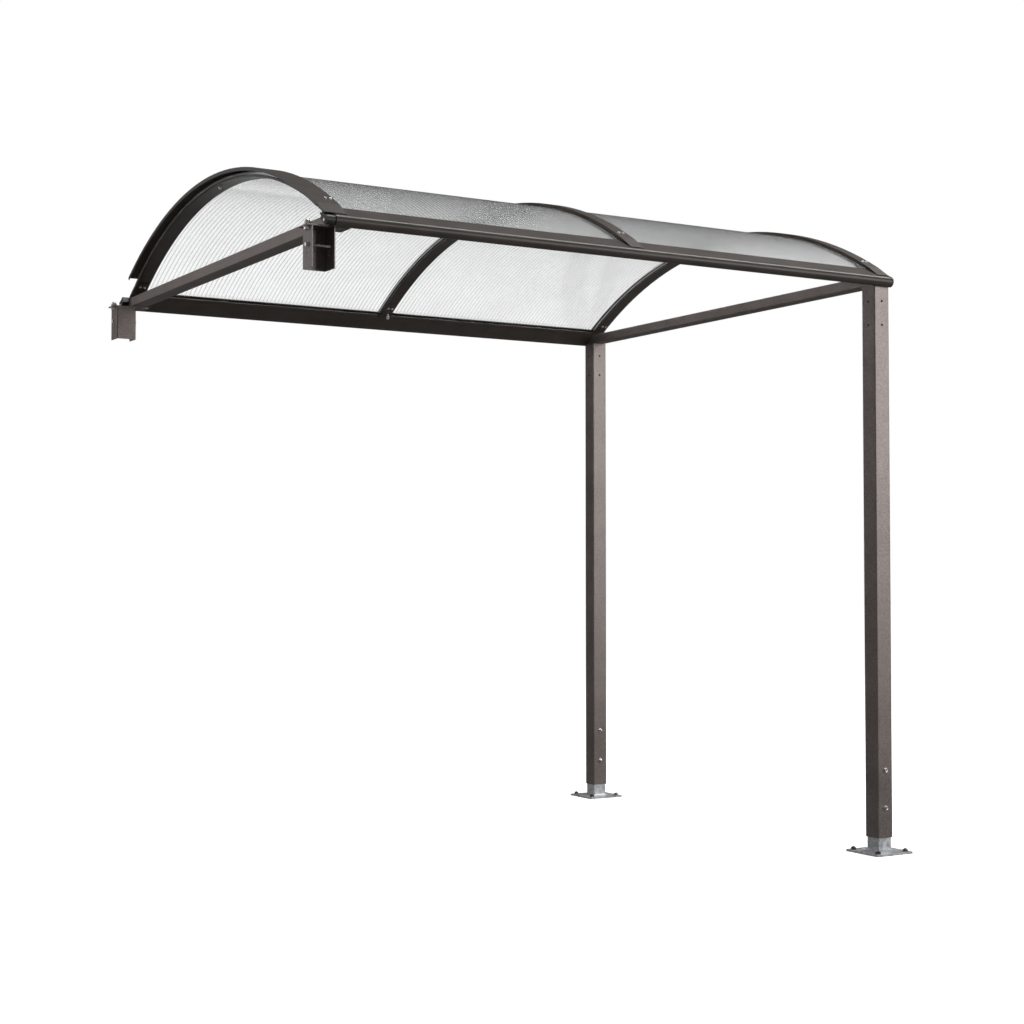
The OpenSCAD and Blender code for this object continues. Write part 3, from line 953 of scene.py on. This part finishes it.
class SHELTER_OT_small_screws(bpy.types.Operator):
    """Models the screws of the splice inserts, the crown of the left rib and the middle bracket"""

    bl_idname = "shelter.small_screws"
    bl_label = "Small screws"

    def execute(self, context):
        vault = Vault(context)
        made = {}
        screw = join("screw", [washer(0.006), dome_head(0.008, 0.001)])
        # Near the middle of the insert's nose, given in the edge beam's own directions
        nose_u, nose_v = 0.092, 0.004
        made["front_insert_screw"], made["back_insert_screw"] = copies_of(screw, [
            pointing(
                vault.profile(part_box(place + "_splice_insert")[0].x, nose_u, nose_v, side),
                (-1, 0, 0))
            for place, side in SIDES.items()
        ])

        # Under the crown of the left rib, towards its left edge
        crown_size = 0.008
        left_of_middle = 0.013
        crown = join("crown", [
            washer(crown_size), cap_nut(crown_size, crown_size * WASHER_HEIGHT)])
        stand = vault.stand(
            middle_of("left_rib", 0) - left_of_middle, vault.radius * vault.eave, 1, vault.radius)
        made["left_rib_crown_screw"] = put(crown, stand @ TURNED_OVER)

        # Hangs under the back middle bracket, with its thread up to the bracket's leg
        hanging_size = 0.010
        thread_length = 0.012
        right_of_middle, from_back, from_below = 0.004, 0.020, 0.003
        hanging = join("hanging", [
            washer(hanging_size),
            cap_nut(hanging_size, hanging_size * WASHER_HEIGHT),
            thread(hanging_size, -thread_length, 0.0),
        ])
        low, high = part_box("back_middle_rib_bracket")
        spot = (
            (low.x + high.x) / 2 + right_of_middle, high.y - from_back, low.z + from_below)
        made["middle_bracket_screw"] = put(hanging, Matrix.Translation(spot) @ TURNED_OVER)

        for name, piece in made.items():
            piece.name = name
            finish_piece(piece, material_named(context, "bolt_steel"))
        return {"FINISHED"}


# ---- Stage ---------------------------------------------------------------------------------------

def soft_light(name, place, aim, size, power):
    """A rectangular soft light that the camera doesn't see."""
    light = bpy.data.lights.new(name, "AREA")
    light.shape = "RECTANGLE"
    light.size, light.size_y = size
    light.energy = power
    obj = bpy.data.objects.new(name, light)
    obj.location = place
    obj.rotation_euler = (Vector(aim) - Vector(place)).to_track_quat("-Z", "Y").to_euler()
    obj.visible_camera = False
    bpy.context.scene.collection.objects.link(obj)


def studio_world():
    """White behind everything and behind the sheets, and a dim room for light and gloss."""
    world = bpy.data.worlds.new("studio")
    world.use_nodes = True
    tree = world.node_tree
    wire = Wire(tree)
    direction = wire.node("ShaderNodeTexCoord", out="Generated")
    height = wire.node("ShaderNodeSeparateXYZ", out="Z", Vector=direction)
    across = wire.node("ShaderNodeSeparateXYZ", out="X", Vector=direction)
    # Each part of the room's light fades in smoothly with the direction's own component
    above = height.band(0.05, 0.75)
    below = (0.0 - height).band(0.0, 0.5)
    left = (0.0 - across).band(-0.1, 0.8)
    level = above * SKY_LEVEL + below * FLOOR_LEVEL + left * LEFT_LEVEL + ROOM_LEVEL
    room = level.mix((0, 0, 0), (1.0, 0.99, 0.98))
    camera = wire.node("ShaderNodeLightPath", out="Is Camera Ray")
    through = wire.node("ShaderNodeLightPath", out="Is Transmission Ray")
    glossy = wire.node("ShaderNodeLightPath", out="Glossy Depth")
    dimming = wire.maths("MINIMUM", glossy, 1.0) * MIRRORED_DIMMING
    seen = wire.maths("MAXIMUM", camera, through * (1.0 - dimming))
    colour = wire.node(
        "ShaderNodeMix", out=2, settings={"data_type": "RGBA"},
        _0=seen, _6=room, _7=(1.0, 1.0, 1.0, 1))
    background = tree.nodes["Background"]
    tree.links.new(colour.output, background.inputs["Color"])
    bpy.context.scene.world = world


def pale_floor(radius):
    """A round pale floor at ground level."""
    deselect()
    bpy.ops.mesh.primitive_circle_add(
        vertices=96, radius=radius, fill_type="NGON", location=(0, 0, CAD_BOX[0].z))
    floor = bpy.context.active_object
    bpy.ops.object.transform_apply(location=True, rotation=True, scale=True)
    floor.name = "pale_floor"
    material, wire, shader = new_material("pale_floor")
    place = wire.node("ShaderNodeTexCoord", out="Object")
    fine = noise(wire, place, 3.0, 3.0)
    feed(fine.mix((0.78, 0.78, 0.78), (0.8, 0.8, 0.8)), shader, "Base Color")
    shader.inputs["Roughness"].default_value = 0.9
    shader.inputs["Specular IOR Level"].default_value = 0.0
    shader.inputs["Emission Color"].default_value = (1, 1, 1, 1)
    shader.inputs["Emission Strength"].default_value = 0.9
    dress(floor, material)
    floor.visible_diffuse = False
    floor.visible_glossy = False


class SHELTER_OT_stage(bpy.types.Operator):
    """Makes the floor, the studio lights and the camera"""

    bl_idname = "shelter.stage"
    bl_label = "Stage"

    def execute(self, context):
        stage = context.scene.shelter_stage
        pale_floor(stage.floor_radius)
        studio_world()
        low, high = CAD_BOX
        centre = (low + high) / 2
        in_front = (centre.x + 5.5, centre.y - 8.5, 3.5)
        soft_light("front_light", in_front, (centre.x, centre.y, 1.8), (7.0, 5.0), stage.key_power)
        # A long strip over the front edge, which draws the highlight along the front beam
        overhead = Vector((centre.x + 4.3, low.y + 1.0, 8.7))
        straight_down = overhead - Vector((0, 0, 1))
        soft_light("top_light", overhead, straight_down, (11.0, 1.7), stage.top_power)
        at_left = (centre.x - 3.6, centre.y + 3.0, 2.9)
        soft_light("left_light", at_left, centre, (2.0, 2.0), stage.left_power)
        camera = bpy.data.cameras.new("camera")
        camera.lens = stage.camera_lens
        camera.sensor_width = 36
        camera.clip_end = 500
        obj = bpy.data.objects.new("camera", camera)
        obj.location = stage.camera_place
        obj.rotation_euler = (math.pi / 2 + stage.camera_tilt, 0, -stage.camera_turn)
        context.scene.collection.objects.link(obj)
        context.scene.camera = obj
        context.scene.view_settings.view_transform = "Standard"
        return {"FINISHED"}


# ---- Panel and registration ----------------------------------------------------------------------

PROPERTY_GROUPS = {
    "shelter_finish": ShelterFinish,
    "shelter_roof": ShelterRoof,
    "shelter_bolts": ShelterBolts,
    "shelter_stage": ShelterStage,
}
OPERATORS = [
    SHELTER_OT_paint, SHELTER_OT_zinc, SHELTER_OT_plastics, SHELTER_OT_roof_sheets,
    SHELTER_OT_anchors, SHELTER_OT_post_bolts, SHELTER_OT_foot_welds, SHELTER_OT_roof_bolts,
    SHELTER_OT_channel_bolts, SHELTER_OT_small_screws, SHELTER_OT_stage,
]


class SHELTER_PT_panel(bpy.types.Panel):
    """Lists the shelter's sizes, colours and building steps"""

    bl_idname = "SHELTER_PT_panel"
    bl_label = "Bicycle shelter"
    bl_space_type = "VIEW_3D"
    bl_region_type = "UI"
    bl_category = "Shelter"

    def draw(self, context):
        for name, group in PROPERTY_GROUPS.items():
            box = self.layout.box()
            box.label(text=group.__doc__)
            for key in group.__annotations__:
                box.prop(getattr(context.scene, name), key)
        for operator in OPERATORS:
            self.layout.operator(operator.bl_idname)


def register():
    for group in PROPERTY_GROUPS.values():
        bpy.utils.register_class(group)
    for operator in OPERATORS:
        bpy.utils.register_class(operator)
    bpy.utils.register_class(SHELTER_PT_panel)
    for name, group in PROPERTY_GROUPS.items():
        setattr(bpy.types.Scene, name, bpy.props.PointerProperty(type=group))


def unregister():
    for name in PROPERTY_GROUPS:
        delattr(bpy.types.Scene, name)
    bpy.utils.unregister_class(SHELTER_PT_panel)
    for operator in reversed(OPERATORS):
        bpy.utils.unregister_class(operator)
    for group in reversed(PROPERTY_GROUPS.values()):
        bpy.utils.unregister_class(group)


def main():
    register()
    bpy.ops.shelter.paint()
    bpy.ops.shelter.zinc()
    bpy.ops.shelter.plastics()
    bpy.ops.shelter.roof_sheets()
    bpy.ops.shelter.anchors()
    bpy.ops.shelter.post_bolts()
    bpy.ops.shelter.foot_welds()
    bpy.ops.shelter.roof_bolts()
    bpy.ops.shelter.channel_bolts()
    bpy.ops.shelter.small_screws()
    bpy.ops.shelter.stage()


if __name__ == "__main__":
    main()
